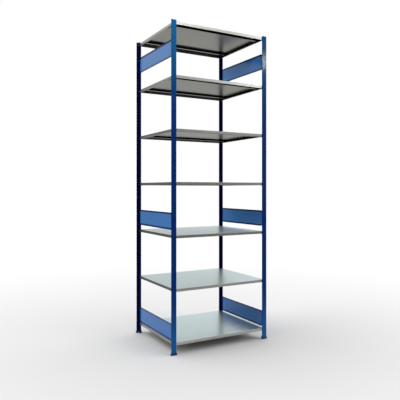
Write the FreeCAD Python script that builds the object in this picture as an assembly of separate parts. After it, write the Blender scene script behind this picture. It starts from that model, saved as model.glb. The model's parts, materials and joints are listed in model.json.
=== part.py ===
import FreeCAD, Part
import os

# Boltless steel shelving bay: two ladder frames of slotted T uprights and hook-in plates,
# and stiffened tray shelves that lift off clips hooked into the uprights.
# Millimetres, +Z up. The origin is on the floor under the middle of the bay, the front faces -Y.

# Bay
BAY_WIDTH = 1000.0  # between the middles of the two frames
FRAME_DEPTH = 816.0  # from the front flange face to the rear flange face
SHELF_LEVELS = 7

# Upright, a T section rolled from one strip with folded edges
FLANGE_WIDTH = 52.0
FLANGE_THICK = 3.0
PROFILE_DEPTH = 38.0  # from the flange face to the web tip
WEB_THICK = 3.0
ROOT_RADIUS = 2.0

# Row of hook slots in the web
SLOT_PITCH = 40.0
SLOT_HEIGHT = 14.0
SLOT_INSET = 12.0  # from the back of the flange to the middle of the slot
SLOT_SIDE_CLEARANCE = 0.5  # on each side of the thickest hook
FIRST_SLOT_HEIGHT = 55.0  # from the floor to the middle of the lowest slot
SLOT_TOP_MARGIN = 25.0  # from the middle of the highest slot to the top of the upright
FIRST_LEVEL_SLOT = 1  # which slot carries the lowest shelf, counted from 0
SLOTS_PER_LEVEL = 12

# Hook that clips and frame plates share
HOOK_DROP = 5.0  # how far the nose hangs below the slot's lower edge
HOOK_NOSE = 2.5
HOOK_GRIP = 0.3  # gap between the web and the nose
HOOK_ENTRY_CLEARANCE = 1.0  # spare slot height while the nose goes in

# Foot cap
FOOT_WALL = 4.0
FOOT_FLOOR = 4.0
FOOT_HEIGHT = 20.0
FOOT_CLEARANCE = 0.2
FOOT_CHAMFER = 2.0

# Frame plate
PLATE_SHEET = 1.5
PLATE_SLOT_SPAN = 3  # slots from its lower hook to its upper hook
PLATE_EDGE_MARGIN = 18.0  # from a hook's slot to the plate's edge
PLATE_FLANGE_REACH = 2.5  # how far the folded edge passes the far face of the web
PLATE_BEND = 2.0  # outside radius of the fold
PLATE_TAB_GAP = 12.0  # from the web tip to the end of the folded edge
PLATE_NOTCH_RELIEF = 1.0
# each plate's level, and how many slots its lower hook is above that level's slot
PLATE_PLACES = {"lower": (1, 1), "middle": (3, 2), "upper": (6, 5)}

# Shelf clip
CLIP_SHEET = 2.5
CLIP_LENGTH = 30.0  # along the depth of the bay
CLIP_LEDGE = 18.0  # from the web face to the tip of the ledge
CLIP_RISE = 24.0  # from the ledge to the top of the clip
CLIP_BEND = 3.0  # outside radius of the fold
CLIP_CHAMFER = 4.0
LEDGE_BELOW_SLOT = 12.0  # from the middle of the slot down to the ledge

# Shelf
SHELF_SHEET = 1.0
SHELF_HEIGHT = 26.0
SHELF_BEND = 1.5  # outside radius of the folds
SHELF_LIP = 15.0  # turned in at the left and the right end, to lie on the clips
SHELF_LIP_SEAM = 1.0  # gap between the end of a lip and the hem beside it
SHELF_HEM = 12.0  # front and rear edges folded flat back on themselves
SHELF_LIFT_CLEARANCE = 0.7  # past whatever stands proud of the web
SHELF_END_CLEARANCE = 2.0  # to the flanges in front and behind

# Shelf stiffener, a hat section welded under the deck along the front and the rear
STIFFENER_SHEET = 1.0
STIFFENER_INSET = 104.0  # from the shelf's front or rear face to its middle
STIFFENER_CROWN = 25.0  # width of its flat bottom
STIFFENER_FLANGE = 12.0  # how far its welded edges reach past the crown
STIFFENER_CHAMFER = 1.0  # across the outside of its folds
STIFFENER_LIP_CLEARANCE = 9.0  # from the end lips of the shelf up to its bottom
STIFFENER_END_CLEARANCE = 1.0  # to the ends of the tray

SIDES = {"left": -1, "right": 1}  # along X
ENDS = {"front": -1, "rear": 1}  # along Y

slot_count = FIRST_LEVEL_SLOT + (SHELF_LEVELS - 1) * SLOTS_PER_LEVEL + 1
upright_top = FIRST_SLOT_HEIGHT + (slot_count - 1) * SLOT_PITCH + SLOT_TOP_MARGIN
slot_width = max(CLIP_SHEET, PLATE_SHEET) + 2 * SLOT_SIDE_CLEARANCE
slot_row = FRAME_DEPTH / 2 - FLANGE_THICK - SLOT_INSET  # its distance from the middle of the depth
hook_neck = SLOT_HEIGHT - HOOK_DROP - HOOK_ENTRY_CLEARANCE
web_stand_out = max(CLIP_SHEET, HOOK_GRIP + HOOK_NOSE, PLATE_FLANGE_REACH)
shelf_half_width = BAY_WIDTH / 2 - WEB_THICK / 2 - web_stand_out - SHELF_LIFT_CLEARANCE
shelf_half_depth = FRAME_DEPTH / 2 - FLANGE_THICK - SHELF_END_CLEARANCE


def vector(x, y, z=0.0):
    """A point or a direction."""
    return FreeCAD.Vector(x, y, z)


def box(low, high):
    """A block between two opposite corners, given in any order."""
    corner = [min(pair) for pair in zip(low, high)]
    size = [abs(b - a) for a, b in zip(low, high)]
    return Part.makeBox(*size, vector(*corner))


def prism(points, direction):
    """The polygon through the points, pushed along a direction."""
    return Part.Face(Part.makePolygon(points + points[:1])).extrude(direction)


def slot_height(slot):
    """The height of the middle of a slot, counted from 0."""
    return FIRST_SLOT_HEIGHT + slot * SLOT_PITCH


def level_slot(level):
    """The slot that carries a shelf, with the lowest level as 1."""
    return FIRST_LEVEL_SLOT + (level - 1) * SLOTS_PER_LEVEL


def ledge_height(level):
    """The height of the clip ledges under a shelf."""
    return slot_height(level_slot(level)) - LEDGE_BELOW_SLOT


def section_point(side, end, across, inward):
    """A point of an upright's section: across the flange, and inward from the flange face."""
    return vector(side * BAY_WIDTH / 2 + across, end * (FRAME_DEPTH / 2 - inward))


def upright(side, end):
    """Rolled T section with round folded edges, on its foot, with the slot row through its web."""
    flange_round = FLANGE_THICK / 2
    flange_edge = FLANGE_WIDTH / 2
    web_side = WEB_THICK / 2
    round_start = PROFILE_DEPTH - web_side
    fillet_middle = ROOT_RADIUS * (1 - 0.5**0.5)

    def at(across, inward):
        return section_point(side, end, across, inward)

    def line(start, finish):
        return Part.LineSegment(start, finish).toShape()

    def arc(start, middle, finish):
        return Part.Arc(start, middle, finish).toShape()

    edges = [line(at(flange_round - flange_edge, 0), at(flange_edge - flange_round, 0))]
    for hand in (1, -1):
        face_end = at(hand * (flange_edge - flange_round), 0)
        back_end = at(hand * (flange_edge - flange_round), FLANGE_THICK)
        fillet_start = at(hand * (web_side + ROOT_RADIUS), FLANGE_THICK)
        fillet_end = at(hand * web_side, FLANGE_THICK + ROOT_RADIUS)
        edges.append(arc(face_end, at(hand * flange_edge, flange_round), back_end))
        edges.append(line(back_end, fillet_start))
        edges.append(
            arc(
                fillet_start,
                at(hand * (web_side + fillet_middle), FLANGE_THICK + fillet_middle),
                fillet_end,
            )
        )
        edges.append(line(fillet_end, at(hand * web_side, round_start)))
    edges.append(arc(at(web_side, round_start), at(0, PROFILE_DEPTH), at(-web_side, round_start)))

    outline = Part.Wire(Part.__sortEdges__(edges))
    bar = Part.Face(outline).extrude(vector(0, 0, upright_top - FOOT_FLOOR))
    bar.translate(vector(0, 0, FOOT_FLOOR))
    middle = side * BAY_WIDTH / 2
    slots = [
        box(
            (middle - WEB_THICK, end * slot_row - slot_width / 2, slot_height(slot) - SLOT_HEIGHT / 2),
            (middle + WEB_THICK, end * slot_row + slot_width / 2, slot_height(slot) + SLOT_HEIGHT / 2),
        )
        for slot in range(slot_count)
    ]
    return bar.cut(slots)


def tee(side, end, margin, height):
    """A T-shaped block round an upright's section, from the floor up, with its roots cut across."""
    flange_edge = FLANGE_WIDTH / 2 + margin
    web_side = WEB_THICK / 2 + margin
    shoulder = FLANGE_THICK + margin
    half = [
        (flange_edge, -margin),
        (flange_edge, shoulder),
        (web_side + ROOT_RADIUS, shoulder),
        (web_side, shoulder + ROOT_RADIUS),
        (web_side, PROFILE_DEPTH + margin),
    ]
    outline = half + [(-across, inward) for across, inward in reversed(half)]
    points = [section_point(side, end, across, inward) for across, inward in outline]
    return prism(points, vector(0, 0, height))


def foot(side, end):
    """Moulded cap with a T socket that the upright stands in."""
    block = tee(side, end, FOOT_WALL, FOOT_HEIGHT)
    shoulder_top = [edge for edge in block.Edges if edge.BoundBox.ZMin > FOOT_HEIGHT / 2]
    block = block.makeChamfer(min(FOOT_CHAMFER, FOOT_WALL / 2), shoulder_top)
    socket = tee(side, end, FOOT_CLEARANCE, FOOT_HEIGHT)
    socket.translate(vector(0, 0, FOOT_FLOOR))
    return block.cut(socket)


def hook(web_face, out, row, sheet, slot):
    """A hook that goes through a slot and hangs on its lower edge.

    web_face is the X of the web face that its piece lies on, and out is -1 or 1, the way from
    that face into the piece. The hook is cut from a sheet that stands across the row of slots.
    """
    seat = slot_height(slot) - SLOT_HEIGHT / 2
    near = WEB_THICK + HOOK_GRIP
    far = near + HOOK_NOSE
    outline = [(-sheet, seat), (near, seat), (near, seat - HOOK_DROP), (far, seat - HOOK_DROP + HOOK_NOSE)]
    outline += [(far, seat + hook_neck), (-sheet, seat + hook_neck)]
    points = [vector(web_face - out * depth, row - sheet / 2, height) for depth, height in outline]
    return prism(points, vector(0, sheet, 0))


def frame_plate(side, lower_slot):
    """Folded plate on the +X face of a frame's webs, with two hooks at each end.

    Both frames are the same piece of hardware, so the plate is on the same face on both sides.
    """
    web_face = side * BAY_WIDTH / 2 + WEB_THICK / 2
    outer_face = web_face + PLATE_SHEET
    flange_tip = web_face - WEB_THICK - PLATE_FLANGE_REACH
    bottom = slot_height(lower_slot) - PLATE_EDGE_MARGIN
    top = slot_height(lower_slot + PLATE_SLOT_SPAN) + PLATE_EDGE_MARGIN
    half_fold = FRAME_DEPTH / 2 - PROFILE_DEPTH - PLATE_TAB_GAP
    half_panel = slot_row + PLATE_SHEET / 2
    tab_margin = PLATE_BEND + PLATE_NOTCH_RELIEF

    channel = box((flange_tip, -half_fold, bottom), (outer_face, half_fold, top))
    folds = [
        edge
        for edge in channel.Edges
        if edge.BoundBox.XMin > outer_face - PLATE_SHEET / 2 and edge.BoundBox.YLength > half_fold
    ]
    hollow_low = (flange_tip - PLATE_SHEET, -half_fold, bottom + PLATE_SHEET)
    hollow = box(hollow_low, (web_face, half_fold, top - PLATE_SHEET))
    channel = channel.makeFillet(PLATE_BEND, folds).cut(hollow)

    panel_low = (web_face, -half_panel, bottom + tab_margin)
    pieces = [box(panel_low, (outer_face, half_panel, top - tab_margin))]
    for end in ENDS.values():
        for slot in (lower_slot, lower_slot + PLATE_SLOT_SPAN):
            pieces.append(hook(web_face, 1, end * slot_row, PLATE_SHEET, slot))
    return channel.fuse(pieces).removeSplitter()


def shelf_clip(side, end, level):
    """Bent clip on the inner face of a web: a hook, a back and the ledge under a shelf corner."""
    web_face = side * (BAY_WIDTH / 2 - WEB_THICK / 2)
    ledge = ledge_height(level)
    row = end * slot_row
    start = row + end * CLIP_SHEET / 2
    finish = start - end * CLIP_LENGTH

    def across(depth):
        return web_face - side * depth

    top = ledge + CLIP_RISE
    angle = box((across(0), start, ledge - CLIP_SHEET), (across(CLIP_LEDGE), finish, top))
    heel = [
        edge
        for edge in angle.Edges
        if edge.BoundBox.YLength > CLIP_LENGTH / 2
        and edge.BoundBox.ZMax < ledge
        and abs(edge.BoundBox.Center.x - across(0)) < CLIP_SHEET / 2
    ]
    room = box((across(CLIP_SHEET), start, ledge), (across(CLIP_LEDGE), finish, top))
    angle = angle.makeFillet(CLIP_BEND, heel).cut(room)
    tips = [
        edge
        for edge in angle.Edges
        if edge.BoundBox.ZLength > CLIP_SHEET / 2
        and abs(edge.BoundBox.Center.x - across(CLIP_LEDGE)) < CLIP_SHEET / 2
    ]
    angle = angle.makeChamfer(CLIP_CHAMFER, tips)
    return angle.fuse(hook(web_face, -side, row, CLIP_SHEET, level_slot(level))).removeSplitter()


def shelf(level):
    """Folded tray: a deck, four sides, a hem in front and behind, and a lip turned in at each end."""
    bottom = ledge_height(level)
    top = bottom + SHELF_HEIGHT
    inner_x = shelf_half_width - SHELF_SHEET
    inner_y = shelf_half_depth - SHELF_SHEET
    hem_y = inner_y - SHELF_SHEET
    lip_end = hem_y - SHELF_LIP_SEAM

    block = box((-shelf_half_width, -shelf_half_depth, bottom), (shelf_half_width, shelf_half_depth, top))
    rim = [edge for edge in block.Edges if edge.BoundBox.ZMin > (bottom + top) / 2]
    inside = box((-inner_x, -inner_y, bottom), (inner_x, inner_y, top - SHELF_SHEET))
    tray = block.makeFillet(SHELF_BEND, rim).cut(inside)

    pieces = []
    for hand in (1, -1):
        hem_half = inner_x - SHELF_LIP_SEAM
        pieces.append(box((-hem_half, hand * inner_y, bottom), (hem_half, hand * hem_y, bottom + SHELF_HEM)))
        lip_low = (hand * inner_x, -lip_end, bottom)
        lip_high = (hand * (shelf_half_width - SHELF_LIP), lip_end, bottom + SHELF_SHEET)
        pieces.append(box(lip_low, lip_high))
    return tray.fuse(pieces).removeSplitter()


def stiffener(end, level):
    """Hat section under the deck, along the front or the rear of a shelf."""
    deck = ledge_height(level) + SHELF_HEIGHT - SHELF_SHEET
    bottom = ledge_height(level) + SHELF_SHEET + STIFFENER_LIP_CLEARANCE
    middle = end * (shelf_half_depth - STIFFENER_INSET)
    half_length = shelf_half_width - SHELF_SHEET - STIFFENER_END_CLEARANCE
    half_crown = STIFFENER_CROWN / 2
    half_inside = half_crown - STIFFENER_SHEET
    half_reach = half_crown + STIFFENER_FLANGE

    crown = box((-half_length, middle - half_crown, bottom), (half_length, middle + half_crown, deck))
    folds = [
        edge for edge in crown.Edges if edge.BoundBox.XLength > half_length and edge.BoundBox.ZMax < deck
    ]
    hollow_low = (-half_length, middle - half_inside, bottom + STIFFENER_SHEET)
    hollow = box(hollow_low, (half_length, middle + half_inside, deck))
    channel = crown.makeChamfer(STIFFENER_CHAMFER, folds).cut(hollow)
    flanges = [
        box(
            (-half_length, middle + hand * half_inside, deck - STIFFENER_SHEET),
            (half_length, middle + hand * half_reach, deck),
        )
        for hand in (1, -1)
    ]
    return channel.fuse(flanges).removeSplitter()


def all_nodes():
    """Every node of the bay by name."""
    nodes = {}
    for end_name, end in ENDS.items():
        for side_name, side in SIDES.items():
            nodes["foot_%s_%s" % (end_name, side_name)] = foot(side, end)
            nodes["upright_%s_%s" % (end_name, side_name)] = upright(side, end)
    for side_name, side in SIDES.items():
        for place, (level, slots_up) in PLATE_PLACES.items():
            plate = frame_plate(side, level_slot(level) + slots_up)
            nodes["frame_plate_%s_%s" % (side_name, place)] = plate
    for level in range(1, SHELF_LEVELS + 1):
        clips = [shelf_clip(side, end, level) for side in SIDES.values() for end in ENDS.values()]
        nodes["shelf_clips_level_%d" % level] = Part.makeCompound(clips)
        nodes["shelf_level_%d" % level] = shelf(level)
        stiffeners = [stiffener(end, level) for end in ENDS.values()]
        nodes["shelf_stiffeners_level_%d" % level] = Part.makeCompound(stiffeners)
    return nodes


os.makedirs("parts", exist_ok=True)
for name, shape in all_nodes().items():
    shape.exportStep("parts/%s.step" % name)
    print(name, len(shape.Solids), shape.isValid(), round(shape.Volume))
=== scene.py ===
"""Looks of a boltless steel shelving bay: blue slotted frames and lift-off galvanised shelves."""

import json
import logging
import math
from dataclasses import dataclass
from enum import Enum
from typing import Iterable, Sequence, Union

import bpy
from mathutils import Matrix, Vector

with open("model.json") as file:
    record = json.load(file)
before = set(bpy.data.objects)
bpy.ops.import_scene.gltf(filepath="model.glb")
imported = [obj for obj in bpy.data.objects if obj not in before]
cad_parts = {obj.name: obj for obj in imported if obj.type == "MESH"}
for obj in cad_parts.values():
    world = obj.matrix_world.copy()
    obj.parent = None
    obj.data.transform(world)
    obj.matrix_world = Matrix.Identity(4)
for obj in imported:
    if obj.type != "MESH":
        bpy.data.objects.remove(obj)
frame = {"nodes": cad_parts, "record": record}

LOG = logging.getLogger("shelving_bay")
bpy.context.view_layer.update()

Colour = tuple[float, float, float]
Point = tuple[float, float, float]
Span = tuple[float, float]
Socket = bpy.types.NodeSocket
Sockets = bpy.types.bpy_prop_collection
Value = Union[float, Sequence[float], Socket]

WHITE: Colour = (1.0, 1.0, 1.0)
BLACK: Colour = (0.0, 0.0, 0.0)
WHOLE: Span = (0.0, 1.0)
FACING: Span = (0.3, 0.8)
FACING_AWAY: Span = (-0.3, -0.8)
HEIGHT_DIGITS = 4

SCREEN_STEPS = 255
CURVE_START = 0.04045
CURVE_SLOPE = 12.92
CURVE_OFFSET = 0.055
CURVE_POWER = 2.4


def linear(level: int) -> float:
    """Undo the screen's curve for one level.

    Args:
        level: The level, from 0 to 255.

    Returns:
        The linear level, from 0 to 1.
    """
    share = level / SCREEN_STEPS
    if share <= CURVE_START:
        return share / CURVE_SLOPE
    return ((share + CURVE_OFFSET) / (1.0 + CURVE_OFFSET)) ** CURVE_POWER


def srgb(red: int, green: int, blue: int) -> Colour:
    """Turn a colour as seen on a screen, in levels from 0 to 255, into a linear one."""
    return linear(red), linear(green), linear(blue)


class Slot(Enum):
    """The record's material slots."""

    PAINT = "frame_paint"
    SHEET = "galvanised_sheet"
    CLIP = "clip_zinc"
    FOOT = "foot_plastic"


class Effect(Enum):
    """The surface effects that more than one finish uses."""

    MOTTLE = "slow_mottle"
    GRAIN = "fine_grain"
    RUBS = "handling_rubs"


class Graph:
    """A short way to write shader nodes into one node tree."""

    def __init__(self, tree: bpy.types.NodeTree) -> None:
        """Take over a node tree and empty it.

        Args:
            tree: The tree that the nodes go into.
        """
        self.tree = tree
        tree.nodes.clear()

    def feed(self, target: Socket, value: Value) -> None:
        """Link a socket to an input, or set the input's own value.

        Args:
            target: The input that takes the value.
            value: An output to link from, a number or a colour.
        """
        if isinstance(value, bpy.types.NodeSocket):
            self.tree.links.new(value, target)
        elif isinstance(value, (int, float)):
            target.default_value = value
        elif target.type == "RGBA":
            target.default_value = (*value, 1.0)
        else:
            target.default_value = tuple(value)

    def node(
        self, kind: str, inputs: dict[str, Value] | None = None, **settings: object
    ) -> bpy.types.Node:
        """Add a node.

        Args:
            kind: The node's type, without the leading ShaderNode.
            inputs: What goes into its inputs, by name.
            settings: The node's own settings, by name.

        Returns:
            The new node.
        """
        made = self.tree.nodes.new("ShaderNode" + kind)
        for name, setting in settings.items():
            setattr(made, name, setting)
        for name, value in (inputs or {}).items():
            self.feed(made.inputs[name], value)
        return made

    def math(self, operation: str, *values: Value, clamp: bool = False) -> Socket:
        """Add a Math node.

        Args:
            operation: The node's operation.
            values: What goes into its inputs, in order.
            clamp: Whether the result is held between 0 and 1.

        Returns:
            The result.
        """
        made = self.node("Math", operation=operation, use_clamp=clamp)
        for target, value in zip(made.inputs, values):
            self.feed(target, value)
        return made.outputs[0]

    def vector(self, operation: str, *values: Value) -> Sockets:
        """Add a Vector Math node.

        Args:
            operation: The node's operation.
            values: What goes into its inputs, in order.

        Returns:
            The node's outputs, Vector and Value.
        """
        made = self.node("VectorMath", operation=operation)
        for target, value in zip(made.inputs, values):
            self.feed(target, value)
        return made.outputs

    def ramp(self, value: Value, span: Span, start: Value = 0.0, end: Value = 1.0) -> Socket:
        """Map a value smoothly from one range to another, and hold it at the ends.

        Args:
            value: The value to map.
            span: The value that gives start and the one that gives end.
            start: The result at the first end of the span.
            end: The result at the other end.

        Returns:
            The mapped value.
        """
        low, high = span
        levels = {"Value": value, "From Min": low, "From Max": high, "To Min": start, "To Max": end}
        return self.node("MapRange", levels, interpolation_type="SMOOTHSTEP").outputs["Result"]

    def mix(self, factor: Value, first: Value, second: Value, blend: str = "MIX") -> Socket:
        """Mix two colours.

        Args:
            factor: How much of the second there is.
            first: The first colour.
            second: The second colour.
            blend: The node's blending mode.

        Returns:
            The mixed colour.
        """
        made = self.node("Mix", data_type="RGBA", blend_type=blend)
        colours = [place for place in made.inputs if place.type == "RGBA"]
        self.feed(made.inputs["Factor"], factor)
        self.feed(colours[0], first)
        self.feed(colours[1], second)
        return next(place for place in made.outputs if place.type == "RGBA")

    def blend(self, factor: Value, first: Value, second: Value) -> Socket:
        """Mix two levels.

        Args:
            factor: How much of the second there is.
            first: The first level.
            second: The second level.

        Returns:
            The mixed level.
        """
        levels = {"Factor": factor, "A": first, "B": second}
        return self.node("Mix", levels, data_type="FLOAT").outputs[0]

    def noise(
        self, vector: Value, scale: Value, detail: float = 2.0, roughness: float = 0.5
    ) -> Socket:
        """Add a noise texture.

        Args:
            vector: The coordinates that it reads.
            scale: Its features to the metre.
            detail: Its number of finer layers.
            roughness: How strong the finer layers are.

        Returns:
            The noise, about 0.5 on average.
        """
        inputs = {"Vector": vector, "Scale": scale, "Detail": detail, "Roughness": roughness}
        return self.node("TexNoise", inputs).outputs[0]

    def stretch(self, vector: Value, scale: Point) -> Socket:
        """Scale coordinates, to draw a pattern out along an axis with a low factor."""
        return self.node("Mapping", {"Vector": vector, "Scale": scale}).outputs["Vector"]

    def axis(self, vector: Value, name: str) -> Socket:
        """Take one axis of a vector."""
        return self.node("SeparateXYZ", {"Vector": vector}).outputs[name]

    def place(self) -> Socket:
        """Read the object coordinates, with 0 on the floor under the middle of the bay."""
        return self.node("TexCoord").outputs["Object"]

    def facing(self) -> Socket:
        """Read the way that the surface faces."""
        return self.node("TexCoord").outputs["Normal"]

    def shaded(self, colour: Value, tone: Socket) -> Socket:
        """Multiply a colour by a tone."""
        grey = self.node("CombineColor", {"Red": tone, "Green": tone, "Blue": tone}).outputs[0]
        return self.mix(1.0, colour, grey, "MULTIPLY")

    def rays(self) -> tuple[Socket, Socket]:
        """Tell the rays that show the studio from those that only light the bay.

        Returns:
            1 for rays from the camera, and 1 for mirrored rays and rays through glass.
        """
        path = self.node("LightPath").outputs
        mirrored = self.math("ADD", path["Is Glossy Ray"], path["Is Transmission Ray"], clamp=True)
        return path["Is Camera Ray"], mirrored

    def effect(self, effect: Effect, inputs: dict[str, Value]) -> Sockets:
        """Place a shared effect.

        Args:
            effect: Which one.
            inputs: What goes into its inputs, by name.

        Returns:
            The group node's outputs.
        """
        made = self.tree.nodes.new("ShaderNodeGroup")
        made.node_tree = bpy.data.node_groups[effect.value]
        for name, value in inputs.items():
            self.feed(made.inputs[name], value)
        return made.outputs


@dataclass(frozen=True)
class EffectLibrary:
    """Builds the shared effects as node groups."""

    noise_middle: float = 0.5
    cloud_detail: float = 3.0
    cloud_roughness: float = 0.6
    skin_span: Span = (0.2, 0.8)
    thin_skin: float = 0.6
    mark_detail: float = 4.0
    upright_draw: Point = (1.0, 1.0, 0.12)
    upright_span: Span = (0.66, 0.78)
    level_draw: Point = (0.12, 0.35, 1.0)
    level_span: Span = (0.68, 0.8)
    spread_detail: float = 1.0
    spread_span: Span = (0.5, 0.75)

    def build(self) -> None:
        """Build every effect once."""
        self.mottle()
        self.grain()
        self.rubs()

    def start(
        self, effect: Effect, inputs: dict[str, str], outputs: dict[str, str]
    ) -> tuple[Graph, Sockets, Sockets]:
        """Start a group with its named sockets.

        Args:
            effect: Which effect it holds.
            inputs: The socket type of each input, by name.
            outputs: The socket type of each output, by name.

        Returns:
            The group's graph, what comes into the group and what goes out of it.
        """
        tree = bpy.data.node_groups.new(effect.value, "ShaderNodeTree")
        for way, sockets in (("INPUT", inputs), ("OUTPUT", outputs)):
            for name, kind in sockets.items():
                tree.interface.new_socket(name=name, in_out=way, socket_type="NodeSocket" + kind)
        graph = Graph(tree)
        given = tree.nodes.new("NodeGroupInput").outputs
        result = tree.nodes.new("NodeGroupOutput").inputs
        return graph, given, result

    def mottle(self) -> None:
        """A slow change of tone over a colour, from uneven coating thickness."""
        inputs = {"Vector": "Vector", "Color": "Color", "Scale": "Float", "Amount": "Float"}
        graph, given, result = self.start(Effect.MOTTLE, inputs, {"Color": "Color"})
        cloud = graph.noise(given["Vector"], given["Scale"], self.cloud_detail, self.cloud_roughness)
        swing = graph.math("SUBTRACT", cloud, self.noise_middle)
        tone = graph.math("ADD", 1.0, graph.math("MULTIPLY", swing, given["Amount"]))
        graph.feed(result["Color"], graph.shaded(given["Color"], tone))

    def grain(self) -> None:
        """A fine skin: the ripple of a sprayed coat, or the texture of a mould."""
        inputs = {"Vector": "Vector", "Scale": "Float", "Break": "Float"}
        outputs = {"Height": "Float", "Patch": "Float"}
        graph, given, result = self.start(Effect.GRAIN, inputs, outputs)
        skin = graph.noise(given["Vector"], given["Scale"])
        patch = graph.noise(given["Vector"], given["Break"])
        depth = graph.ramp(patch, self.skin_span, self.thin_skin)
        graph.feed(result["Height"], graph.math("MULTIPLY", skin, depth))
        graph.feed(result["Patch"], patch)

    def rubs(self) -> None:
        """Sparse short marks, upright and level, as handling leaves on a flat face."""
        inputs = {"Vector": "Vector", "Scale": "Float", "Spread": "Float"}
        graph, given, result = self.start(Effect.RUBS, inputs, {"Mask": "Float"})
        drawn = graph.stretch(given["Vector"], self.upright_draw)
        upright = graph.noise(drawn, given["Scale"], self.mark_detail)
        crossed = graph.stretch(given["Vector"], self.level_draw)
        level = graph.noise(crossed, given["Scale"], self.mark_detail)
        marks = graph.math(
            "MAXIMUM",
            graph.ramp(upright, self.upright_span),
            graph.ramp(level, self.level_span),
        )
        spread = graph.noise(given["Vector"], given["Spread"], self.spread_detail)
        where = graph.ramp(spread, self.spread_span)
        graph.feed(result["Mask"], graph.math("MULTIPLY", marks, where))


@dataclass(frozen=True, kw_only=True)
class Finish:
    """What every finish has: a name, a slow mottle and a bump."""

    name: str
    mottle_scale: float
    mottle_amount: float
    bump_strength: float
    bump_depth: float

    def start(self) -> tuple[bpy.types.Material, Graph, Sockets, Socket]:
        """Make the empty material.

        Returns:
            The material, its graph, its shader's inputs and its object coordinates.
        """
        material = bpy.data.materials.new(self.name)
        material.use_nodes = True
        graph = Graph(material.node_tree)
        shader = graph.node("BsdfPrincipled")
        output = graph.node("OutputMaterial")
        graph.feed(output.inputs["Surface"], shader.outputs[0])
        return material, graph, shader.inputs, graph.place()

    def mottled(self, graph: Graph, place: Socket, colour: Value) -> Socket:
        """Mottle a colour.

        Args:
            graph: The material's graph.
            place: The object coordinates.
            colour: The even colour.

        Returns:
            The mottled colour.
        """
        inputs = {
            "Vector": place,
            "Color": colour,
            "Scale": self.mottle_scale,
            "Amount": self.mottle_amount,
        }
        return graph.effect(Effect.MOTTLE, inputs)["Color"]

    def emboss(self, graph: Graph, height: Socket) -> Socket:
        """Turn a height into a normal.

        Args:
            graph: The material's graph.
            height: The height over the surface.

        Returns:
            The bumped normal.
        """
        inputs = {
            "Strength": self.bump_strength,
            "Distance": self.bump_depth,
            "Height": height,
        }
        return graph.node("Bump", inputs).outputs[0]


@dataclass(frozen=True, kw_only=True)
class GrainedFinish(Finish):
    """A finish with a fine skin, whose gloss differs from patch to patch."""

    roughness: Span
    skin_scale: float
    patch_scale: float
    patch_span: Span = (0.3, 0.7)

    def skin(self, graph: Graph, place: Socket) -> tuple[Socket, Socket]:
        """Draw the skin.

        Args:
            graph: The material's graph.
            place: The object coordinates.

        Returns:
            The bumped normal, and the level of each patch.
        """
        inputs = {"Vector": place, "Scale": self.skin_scale, "Break": self.patch_scale}
        grain = graph.effect(Effect.GRAIN, inputs)
        return self.emboss(graph, grain["Height"]), grain["Patch"]

    def gloss(self, graph: Graph, patch: Socket) -> Socket:
        """Change the roughness from patch to patch."""
        return graph.ramp(patch, self.patch_span, *self.roughness)


@dataclass(frozen=True, kw_only=True)
class PowderCoat(GrainedFinish):
    """Sprayed and baked paint with a faint ripple and a few rubs."""

    shine: float
    worn_colour: Colour = srgb(30, 88, 158)
    rub_scale: float = 160.0
    rub_spread: float = 5.0
    rub_tint: float = 0.35
    rub_dulling: float = 0.12
    mottle_scale: float = 2.5
    mottle_amount: float = 0.14
    bump_strength: float = 0.3
    bump_depth: float = 0.00004
    roughness: Span = (0.08, 0.15)
    skin_scale: float = 420.0
    patch_scale: float = 9.0

    def build(self) -> bpy.types.Material:
        """Build the material.

        Returns:
            The finished material.
        """
        material, graph, shader, place = self.start()
        coat = self.mottled(graph, place, self.tint(graph, place))
        normal, patch = self.skin(graph, place)
        inputs = {"Vector": place, "Scale": self.rub_scale, "Spread": self.rub_spread}
        rubs = graph.effect(Effect.RUBS, inputs)["Mask"]
        worn = graph.math("MULTIPLY", rubs, self.rub_tint)
        dulled = graph.math("MULTIPLY", rubs, self.rub_dulling)
        graph.feed(shader["Base Color"], graph.mix(worn, coat, self.worn_colour))
        graph.feed(shader["Roughness"], graph.math("ADD", self.gloss(graph, patch), dulled))
        graph.feed(shader["Normal"], normal)
        shader["Specular IOR Level"].default_value = self.shine
        return material

    def tint(self, graph: Graph, place: Socket) -> Socket:
        """Colour the paint, in a way that each painted piece gives."""
        raise NotImplementedError


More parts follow.
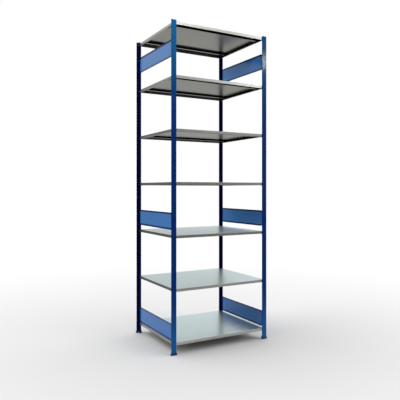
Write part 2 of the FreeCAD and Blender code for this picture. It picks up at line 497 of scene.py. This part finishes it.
@dataclass(frozen=True, kw_only=True)
class UprightCoat(PowderCoat):
    """The paint on the uprights: painted shade on all but the outer faces, painted light low down and
    high up.
    """

    floor_bounce_heights: Span
    top_light_heights: Span
    colour: Colour = srgb(13, 54, 128)
    # A darker blue painted as shade on the webs and behind the flanges, where less light falls.
    inner_shade_colour: Colour = srgb(3, 14, 80)
    # A lighter blue painted low down, standing in for the light bounced up from the floor.
    floor_bounce_colour: Colour = srgb(24, 96, 160)
    # A greener, darker blue painted high up, standing in for the light that falls on the tops of the
    # uprights.
    top_light_colour: Colour = srgb(8, 76, 126)
    outer_span: Span = (0.1, 0.3)
    shine: float = 0.06

    def tint(self, graph: Graph, place: Socket) -> Socket:
        """Colour the paint, with painted light by its height and painted shade by the way that it
        faces.

        Args:
            graph: The material's graph.
            place: The object coordinates.

        Returns:
            The paint's colour.
        """
        height = graph.axis(place, "Z")
        # Painted light high up.
        top_lit = graph.ramp(height, self.top_light_heights)
        # Painted floor-bounce light, fading out up the upright.
        floor_bounce_lit = graph.ramp(height, self.floor_bounce_heights)
        coat = graph.mix(top_lit, self.colour, self.top_light_colour)
        coat = graph.mix(floor_bounce_lit, coat, self.floor_bounce_colour)
        # The faces that don't look straight out front or back take the painted shade.
        return graph.mix(self.outer(graph, place), self.inner_shade_colour, coat)

    def outer(self, graph: Graph, place: Socket) -> Socket:
        """Find the faces that look straight out of the front or the back of the bay.

        Args:
            graph: The material's graph.
            place: The object coordinates.

        Returns:
            1 on those faces, 0 on the webs and behind the flanges.
        """
        depth = graph.axis(place, "Y")
        outward = graph.math("MULTIPLY", depth, graph.axis(graph.facing(), "Y"))
        return graph.ramp(outward, self.outer_span)


@dataclass(frozen=True, kw_only=True)
class PlateCoat(PowderCoat):
    """The paint on the folded plates: paler as painted light, with painted shade along their folds
    and on the lowest plates.
    """

    low_plate_shade_heights: Span
    fold_heights: tuple[float, ...]
    fold_shade_width: float
    # Paler than the uprights' blue: painted light that the plates catch.
    colour: Colour = srgb(80, 140, 212)
    # A deeper blue painted on the lowest plates as shade.
    low_plate_shade_colour: Colour = srgb(58, 116, 188)
    # A dark blue painted beside each fold as shade.
    fold_shade_colour: Colour = srgb(18, 56, 116)
    shine: float = 0.24

    def tint(self, graph: Graph, place: Socket) -> Socket:
        """Colour the paint, with painted shade on the lowest plates and beside each fold.

        Args:
            graph: The material's graph.
            place: The object coordinates.

        Returns:
            The paint's colour.
        """
        height = graph.axis(place, "Z")
        # Painted shade on the lowest plates.
        low = graph.ramp(height, self.low_plate_shade_heights)
        paint = graph.mix(low, self.colour, self.low_plate_shade_colour)
        # A band of painted shade beside each plate edge.
        for fold in self.fold_heights:
            gap = graph.math("ABSOLUTE", graph.math("SUBTRACT", height, fold))
            fold_shading = graph.ramp(gap, (self.fold_shade_width, self.fold_shade_width / 2))
            paint = graph.mix(fold_shading, paint, self.fold_shade_colour)
        return paint


@dataclass(frozen=True, kw_only=True)
class ZincSheet(Finish):
    """Galvanised sheet: the deck bright, with painted shade on the folds, the undersides, the inner
    faces and the pockets.
    """

    deck: Colour = srgb(226, 242, 243)
    # Darker copies of the deck's zinc, painted as shade on the undersides, folds, inner faces and end
    # walls.
    shaded_underside: Colour = srgb(144, 144, 136)
    fold: Colour = srgb(176, 177, 172)
    inside: Colour = srgb(190, 190, 184)
    shaded_end_wall: Colour = srgb(60, 60, 57)
    # Near black, painted as shade in the shut-in pockets under the deck.
    pocket_shade: Colour = srgb(30, 30, 28)
    level_axes: Point = (1.0, 1.0, 0.0)
    inward_span: Span = (-0.02, -0.1)
    roughness: Span = (0.29, 0.32)
    edge_shine: Colour = (0.62, 0.62, 0.62)
    metallic: float = 0.92
    spangle_scale: float = 70.0
    spangle_tones: Span = (0.965, 0.985)
    wander_scale: float = 40.0
    wander: Point = (0.012, 0.012, 0.012)
    line_scale: float = 120.0
    line_draw: Point = (0.02, 1.0, 1.0)
    line_share: float = 0.05
    rub_scale: float = 70.0
    rub_spread: float = 4.0
    rub_dulling: float = 0.06
    wave_scale: float = 5.0
    wave_detail: float = 1.0
    mottle_scale: float = 3.0
    mottle_amount: float = 0.1
    bump_strength: float = 0.3
    bump_depth: float = 0.001

    def build(self) -> bpy.types.Material:
        """Build the material.

        Returns:
            The finished material.
        """
        material, graph, shader, place = self.start()
        crystal = self.spangle(graph, place)
        lines = graph.noise(graph.stretch(place, self.line_draw), self.line_scale)
        inputs = {"Vector": place, "Scale": self.rub_scale, "Spread": self.rub_spread}
        rubs = graph.effect(Effect.RUBS, inputs)["Mask"]
        waves = graph.noise(place, self.wave_scale, self.wave_detail)

        coat = self.mottled(graph, place, self.tint(graph, place))
        faint = graph.math("MULTIPLY", lines, self.line_share)
        tone = graph.math("ADD", graph.ramp(crystal, WHOLE, *self.spangle_tones), faint)
        gloss = graph.ramp(crystal, WHOLE, *self.roughness)
        dulled = graph.math("MULTIPLY", rubs, self.rub_dulling)
        graph.feed(shader["Base Color"], graph.shaded(coat, tone))
        graph.feed(shader["Roughness"], graph.math("ADD", gloss, dulled))
        graph.feed(shader["Normal"], self.emboss(graph, waves))
        graph.feed(shader["Specular Tint"], self.edge_shine)
        shader["Metallic"].default_value = self.metallic
        return material

    def tint(self, graph: Graph, place: Socket) -> Socket:
        """Colour the zinc by the way that it faces, with painted shade on all but the deck.

        Args:
            graph: The material's graph.
            place: The object coordinates.

        Returns:
            The zinc's colour.
        """
        facing = graph.facing()
        up = graph.axis(facing, "Z")
        down = graph.ramp(up, FACING_AWAY)
        across = graph.ramp(graph.math("ABSOLUTE", graph.axis(facing, "X")), FACING)
        # Inner faces and end walls take painted shade, as do outward folds and undersides.
        inner = graph.mix(across, self.inside, self.shaded_end_wall)
        zinc = graph.mix(self.inward(graph, place), self.fold, inner)
        zinc = graph.mix(down, zinc, self.shaded_underside)
        # Painted shade in the shut-in pockets under the deck.
        pocket_shading = graph.math("MULTIPLY", down, self.shade_pockets(graph, place))
        zinc = graph.mix(pocket_shading, zinc, self.pocket_shade)
        return graph.mix(graph.ramp(up, FACING), zinc, self.deck)

    def inward(self, graph: Graph, place: Socket) -> Socket:
        """Find the upright faces that look in towards the middle of the bay.

        Args:
            graph: The material's graph.
            place: The object coordinates.

        Returns:
            1 on the inward faces, 0 elsewhere.
        """
        level = graph.vector("MULTIPLY", place, self.level_axes)["Vector"]
        outward = graph.vector("DOT_PRODUCT", level, graph.facing())["Value"]
        return graph.ramp(outward, self.inward_span)

    def shade_pockets(self, graph: Graph, place: Socket) -> Socket:
        """Find the undersides that take painted shade, which each piece gives."""
        raise NotImplementedError

    def spangle(self, graph: Graph, place: Socket) -> Socket:
        """Draw the zinc's crystals, with wandering edges.

        Args:
            graph: The material's graph.
            place: The object coordinates.

        Returns:
            A level from 0 to 1 that differs from crystal to crystal.
        """
        clouds = graph.node("TexNoise", {"Vector": place, "Scale": self.wander_scale})
        bent = graph.vector("MULTIPLY_ADD", clouds.outputs["Color"], self.wander, place)["Vector"]
        cells = graph.node("TexVoronoi", {"Vector": bent, "Scale": self.spangle_scale})
        return graph.node("SeparateColor", {"Color": cells.outputs["Color"]}).outputs[0]


@dataclass(frozen=True, kw_only=True)
class TraySheet(ZincSheet):
    """The zinc of the trays, with painted shade under the deck from beside the stiffeners to front
    and rear.
    """

    pocket_shade_starts: Span
    pocket_shade_edge: float = 0.002

    def shade_pockets(self, graph: Graph, place: Socket) -> Socket:
        """Find where the painted shade goes: from beside each stiffener out to the front or the rear
        face.

        Args:
            graph: The material's graph.
            place: The object coordinates.

        Returns:
            1 there, 0 in the middle.
        """
        depth = graph.axis(place, "Y")
        front, rear = self.pocket_shade_starts
        before = graph.ramp(depth, (front, front - self.pocket_shade_edge))
        after = graph.ramp(depth, (rear, rear + self.pocket_shade_edge))
        return graph.math("ADD", before, after)


@dataclass(frozen=True, kw_only=True)
class StiffenerSheet(ZincSheet):
    """The zinc of the stiffeners: grey on their flat bottoms, with painted shade on walls and welded
    edges.
    """

    middle: float
    half_crown: float
    crown_edge: float = 0.001
    # Near-black walls: painted shade.
    fold: Colour = srgb(34, 34, 32)
    inside: Colour = srgb(34, 34, 32)

    def shade_pockets(self, graph: Graph, place: Socket) -> Socket:
        """Find the welded edges on either side of the flat bottom, which take painted shade.

        Args:
            graph: The material's graph.
            place: The object coordinates.

        Returns:
            1 on the welded edges, 0 on the flat bottom.
        """
        depth = graph.math("ABSOLUTE", graph.axis(place, "Y"))
        off = graph.math("ABSOLUTE", graph.math("SUBTRACT", depth, self.middle))
        return graph.ramp(off, (self.half_crown - self.crown_edge, self.half_crown))


@dataclass(frozen=True, kw_only=True)
class SatinZinc(GrainedFinish):
    """Satin plating on the small bent clips."""

    colour: Colour = srgb(176, 179, 178)
    mottle_scale: float = 45.0
    mottle_amount: float = 0.2
    bump_strength: float = 0.4
    bump_depth: float = 0.00005
    roughness: Span = (0.32, 0.46)
    skin_scale: float = 900.0
    patch_scale: float = 60.0

    def build(self) -> bpy.types.Material:
        """Build the material.

        Returns:
            The finished material.
        """
        material, graph, shader, place = self.start()
        normal, patch = self.skin(graph, place)
        graph.feed(shader["Base Color"], self.mottled(graph, place, self.colour))
        graph.feed(shader["Roughness"], self.gloss(graph, patch))
        graph.feed(shader["Normal"], normal)
        shader["Metallic"].default_value = 1.0
        return material


@dataclass(frozen=True, kw_only=True)
class MouldedPlastic(GrainedFinish):
    """Dark moulded feet with a fine spark-eroded skin and dust low down."""

    colour: Colour = srgb(10, 42, 86)
    dust_colour: Colour = srgb(52, 66, 88)
    dust_heights: Span = (0.006, 0.0)
    dust_span: Span = (0.35, 0.75)
    dust_levels: Span = (0.0, 0.5)
    mottle_scale: float = 30.0
    mottle_amount: float = 0.25
    bump_strength: float = 0.5
    bump_depth: float = 0.0001
    roughness: Span = (0.45, 0.6)
    skin_scale: float = 1100.0
    patch_scale: float = 50.0

    def build(self) -> bpy.types.Material:
        """Build the material.

        Returns:
            The finished material.
        """
        material, graph, shader, place = self.start()
        coat = self.mottled(graph, place, self.colour)
        normal, patch = self.skin(graph, place)
        low = graph.ramp(graph.axis(place, "Z"), self.dust_heights)
        dust = graph.math("MULTIPLY", low, graph.ramp(patch, self.dust_span, *self.dust_levels))
        graph.feed(shader["Base Color"], graph.mix(dust, coat, self.dust_colour))
        graph.feed(shader["Roughness"], self.gloss(graph, patch))
        graph.feed(shader["Normal"], normal)
        return material


def dress(nodes: Iterable[str], material: bpy.types.Material) -> None:
    """Give solids of the frame a finish.

    Args:
        nodes: The solids' names.
        material: The finish that they get.
    """
    for name in nodes:
        frame["nodes"][name].material_slots[0].material = material
        LOG.info("%s is finished in %s", name, material.name)


def nodes_in(slot: Slot) -> list[str]:
    """Find the solids that a material slot covers.

    Args:
        slot: The record's slot.

    Returns:
        The solids' names.
    """
    parts = frame["record"]["subparts"]
    return [part["node"] for part in parts if part["material_slot"] == slot.value]


@dataclass(frozen=True)
class LadderFrames:
    """The two ladder frames: slotted uprights, hook-in plates, clips and feet."""

    # Where the painted floor-bounce light on the uprights fades out.
    floor_bounce_heights: Span = (0.5, 0.05)
    # Where the painted light high up on the uprights comes in.
    top_light_heights: Span = (2.1, 2.7)
    # Where the painted shade on the lowest plates comes in.
    low_plate_shade_heights: Span = (0.8, 0.5)
    # The width of the painted shade beside the plates' folds.
    fold_shade_width: float = 0.021

    def dress(self) -> None:
        """Give every piece of the frames its finish."""
        painted = nodes_in(Slot.PAINT)
        plates = [name for name in painted if "plate" in name]
        uprights = [name for name in painted if name not in plates]
        upright_coat = UprightCoat(
            name="blue_powder_coat",
            floor_bounce_heights=self.floor_bounce_heights,
            top_light_heights=self.top_light_heights,
        )
        plate_coat = PlateCoat(
            name="plate_powder_coat",
            low_plate_shade_heights=self.low_plate_shade_heights,
            fold_heights=self.edges(plates),
            fold_shade_width=self.fold_shade_width,
        )
        dress(uprights, upright_coat.build())
        dress(plates, plate_coat.build())
        dress(nodes_in(Slot.CLIP), SatinZinc(name="satin_zinc").build())
        dress(nodes_in(Slot.FOOT), MouldedPlastic(name="moulded_foot").build())

    def edges(self, plates: Iterable[str]) -> tuple[float, ...]:
        """Measure the heights of the plates' lower and upper edges.

        Args:
            plates: The plates' names.

        Returns:
            The heights, each once.
        """
        heights: set[float] = set()
        for name in plates:
            levels = [Vector(corner).z for corner in frame["nodes"][name].bound_box]
            heights.add(round(min(levels), HEIGHT_DIGITS))
            heights.add(round(max(levels), HEIGHT_DIGITS))
        return tuple(sorted(heights))


@dataclass(frozen=True)
class ShelfStack:
    """The folded tray shelves and the stiffeners welded under them."""

    # Where the painted shade under the decks starts, to the front and to the rear.
    pocket_shade_starts: Span = (-0.264, 0.222)
    stiffener_middle: float = 0.299
    half_crown: float = 0.0125

    def dress(self) -> None:
        """Give every shelf and stiffener its finish."""
        solids = nodes_in(Slot.SHEET)
        stiffeners = [name for name in solids if "stiffener" in name]
        trays = [name for name in solids if name not in stiffeners]
        tray_sheet = TraySheet(name="galvanised_sheet", pocket_shade_starts=self.pocket_shade_starts)
        stiffener_sheet = StiffenerSheet(
            name="stiffener_zinc", middle=self.stiffener_middle, half_crown=self.half_crown
        )
        dress(trays, tray_sheet.build())
        dress(stiffeners, stiffener_sheet.build())


@dataclass(frozen=True)
class Floor:
    """A pale floor that runs out to white, and lights the bay less from far off."""

    mirror_share: float
    radius: float = 60.0
    corners: int = 128
    colour: Colour = (0.8, 0.8, 0.8)
    fade_span: Span = (1.2, 5.0)
    paper_span: Span = (2.2, 0.8)
    bare_share: float = 0.28
    front_edges: Span = (-3.2, -2.2)
    left_edges: Span = (-1.6, -0.8)

    def build(self) -> None:
        """Lay the floor."""
        bpy.ops.object.select_all(action="DESELECT")
        bpy.ops.mesh.primitive_circle_add(
            vertices=self.corners, radius=self.radius, fill_type="NGON"
        )
        floor = bpy.context.active_object
        floor.name = "studio_floor"
        floor.data.materials.append(self.material())
        LOG.info("the floor is laid")

    def material(self) -> bpy.types.Material:
        """Build the floor's material: white far off, and dimmer in reflections to the front and left.

        Returns:
            The material.
        """
        material = bpy.data.materials.new("pale_floor")
        material.use_nodes = True
        graph = Graph(material.node_tree)
        place = graph.place()
        away = graph.vector("LENGTH", place)["Value"]
        camera, mirrored = graph.rays()
        to_back = graph.ramp(graph.axis(place, "Y"), self.front_edges)
        to_right = graph.ramp(graph.axis(place, "X"), self.left_edges)
        pale = graph.math("MULTIPLY", mirrored, graph.math("MULTIPLY", to_back, to_right))
        seen = graph.math("MAXIMUM", camera, pale)
        white = graph.math("MULTIPLY", graph.ramp(away, self.fade_span), seen)

        paper = graph.ramp(away, self.paper_span, self.bare_share)
        dim = graph.ramp(graph.math("SUBTRACT", mirrored, pale), WHOLE, 1.0, self.mirror_share)
        share = graph.math("MULTIPLY", graph.math("MAXIMUM", paper, seen), dim)
        matt = graph.node("BsdfDiffuse", {"Color": graph.mix(share, BLACK, self.colour)})
        glow = graph.node("Emission", {"Color": WHITE, "Strength": 1.0})
        mixed = graph.node("MixShader")
        for target, value in zip(mixed.inputs, (white, matt.outputs[0], glow.outputs[0])):
            graph.feed(target, value)
        output = graph.node("OutputMaterial")
        graph.feed(output.inputs["Surface"], mixed.outputs[0])
        return material


@dataclass(frozen=True)
class Surround:
    """The light all round: a white backdrop, a wall to its left, and a dark front with a glow."""

    mirror_share: float
    behind_span: Span = (-0.35, 0.15)
    backdrop_span: Span = (-0.4, -0.1)
    backdrop_heights: Span = (0.0, 0.35)
    backdrop_levels: Span = (0.25, 1.15)
    mirror_span: Span = (0.3, 0.55)
    mirror_levels: Span = (0.82, 1.04)
    wall_heights: Span = (0.1, 0.3)
    wall_levels: Span = (0.35, 2.0)
    ceiling_heights: Span = (0.45, 0.85)
    ceiling_levels: Span = (0.15, 0.6)
    glow_left: Span = (0.15, 0.4)
    glow_right: Span = (0.95, 0.7)
    glow_foot: Span = (0.0, 0.4)
    glow_head: Span = (0.8, 0.5)
    glow_level: float = 2.6
    fill_left: Span = (0.25, 0.0)
    fill_right: Span = (0.5, 0.62)
    fill_above: Span = (0.45, 0.65)
    fill_level: float = 0.75

    def build(self) -> None:
        """Light the world: white to the camera, and the backdrop near white in reflections."""
        world = bpy.data.worlds.new("white_studio")
        bpy.context.scene.world = world
        world.use_nodes = True
        graph = Graph(world.node_tree)
        way = graph.node("TexCoord").outputs["Generated"]
        sideways, height = graph.axis(way, "X"), graph.axis(way, "Z")
        camera, mirrored = graph.rays()
        behind = graph.ramp(graph.axis(way, "Y"), self.behind_span)
        backdrop = graph.math("MULTIPLY", behind, graph.ramp(sideways, self.backdrop_span))

        dim = graph.blend(mirrored, 1.0, self.mirror_share)
        wall = graph.math("MULTIPLY", graph.ramp(height, self.wall_heights, *self.wall_levels), dim)
        room = graph.blend(behind, self.front(graph, sideways, height, mirrored, dim), wall)
        paper = graph.ramp(height, self.backdrop_heights, *self.backdrop_levels)
        lit = graph.blend(backdrop, room, paper)

        shown = graph.math("MAXIMUM", camera, graph.math("MULTIPLY", mirrored, backdrop))
        mirror = graph.ramp(sideways, self.mirror_span, *self.mirror_levels)
        strength = graph.blend(shown, lit, graph.blend(camera, mirror, 1.0))
        sky = graph.node("Background", {"Color": WHITE, "Strength": strength})
        output = graph.node("OutputWorld")
        graph.feed(output.inputs["Surface"], sky.outputs[0])
        LOG.info("the surround is lit")

    def front(
        self, graph: Graph, sideways: Socket, height: Socket, mirrored: Socket, dim: Socket
    ) -> Socket:
        """Light the front: a ceiling, a glow to the right, and an even fill in other reflections.

        Args:
            graph: The world's graph.
            sideways: How far a ray goes to the right, from -1 to 1.
            height: How far it goes up, from -1 to 1.
            mirrored: 1 for rays that are mirrored.
            dim: The share of the light that such a ray sees.

        Returns:
            The level of light.
        """
        ceiling = graph.ramp(height, self.ceiling_heights, *self.ceiling_levels)
        glow: Value = self.glow_level
        for value, span in (
            (sideways, self.glow_left),
            (sideways, self.glow_right),
            (height, self.glow_foot),
            (height, self.glow_head),
        ):
            glow = graph.math("MULTIPLY", graph.ramp(value, span), glow)
        level = graph.math("MULTIPLY", graph.math("MAXIMUM", ceiling, glow), dim)

        aside = graph.math(
            "MAXIMUM",
            graph.ramp(sideways, self.fill_left),
            graph.ramp(sideways, self.fill_right),
        )
        aside = graph.math("MAXIMUM", aside, graph.ramp(height, self.fill_above))
        return graph.blend(graph.math("MULTIPLY", mirrored, aside), level, self.fill_level)


@dataclass(frozen=True)
class Lamp:
    """A rectangular soft lamp that points at a place on the bay."""

    name: str
    place: Point
    target: Point
    size: tuple[float, float]
    watts: float
    spread: float = 180.0

    def build(self) -> None:
        """Hang the lamp."""
        data = bpy.data.lights.new(self.name, "AREA")
        data.shape = "RECTANGLE"
        data.size, data.size_y = self.size
        data.energy = self.watts
        data.spread = math.radians(self.spread)
        lamp = bpy.data.objects.new(self.name, data)
        bpy.context.scene.collection.objects.link(lamp)
        lamp.location = self.place
        way = Vector(self.target) - Vector(self.place)
        lamp.rotation_euler = way.to_track_quat("-Z", "Y").to_euler()
        LOG.info("%s is hung", self.name)


@dataclass(frozen=True)
class PhotoCamera:
    """A level camera where the photograph was taken."""

    lens: float = 44.3
    place: Point = (-2.456, -4.346, 1.487)
    tilt: float = 90.0
    turn: float = -29.453
    shift: float = -0.0279

    def build(self) -> None:
        """Stand the camera and look through it."""
        data = bpy.data.cameras.new("photo_camera")
        data.lens = self.lens
        data.shift_y = self.shift
        camera = bpy.data.objects.new("photo_camera", data)
        bpy.context.scene.collection.objects.link(camera)
        camera.location = self.place
        camera.rotation_euler = (math.radians(self.tilt), 0.0, math.radians(self.turn))
        bpy.context.scene.camera = camera
        LOG.info("the camera is in place")


@dataclass(frozen=True)
class Studio:
    """The pale floor, the white surround, the soft lamps and the camera."""

    mirror_share: float = 0.5
    lamps: tuple[Lamp, ...] = (
        Lamp(
            name="front_softbox",
            place=(2.85, -3.5, 3.74),
            target=(0.5, -0.4, 2.6),
            size=(0.25, 0.2),
            watts=11.0,
        ),
        Lamp(
            name="overhead_softbox",
            place=(-0.32, -1.2, 3.62),
            target=(-0.25, -0.4, 2.9),
            size=(1.1, 0.4),
            watts=4.4,
            spread=75.0,
        ),
    )

    def build(self) -> None:
        """Set up everything round the bay."""
        Floor(self.mirror_share).build()
        Surround(self.mirror_share).build()
        for lamp in self.lamps:
            lamp.build()
        PhotoCamera().build()
        bpy.context.scene.view_settings.view_transform = "Standard"


def main() -> None:
    """Build the looks, from the shared effects to the camera."""
    logging.basicConfig(level=logging.INFO, format="%(name)s: %(message)s")
    EffectLibrary().build()
    LadderFrames().dress()
    ShelfStack().dress()
    Studio().build()


if __name__ == "__main__":
    main()
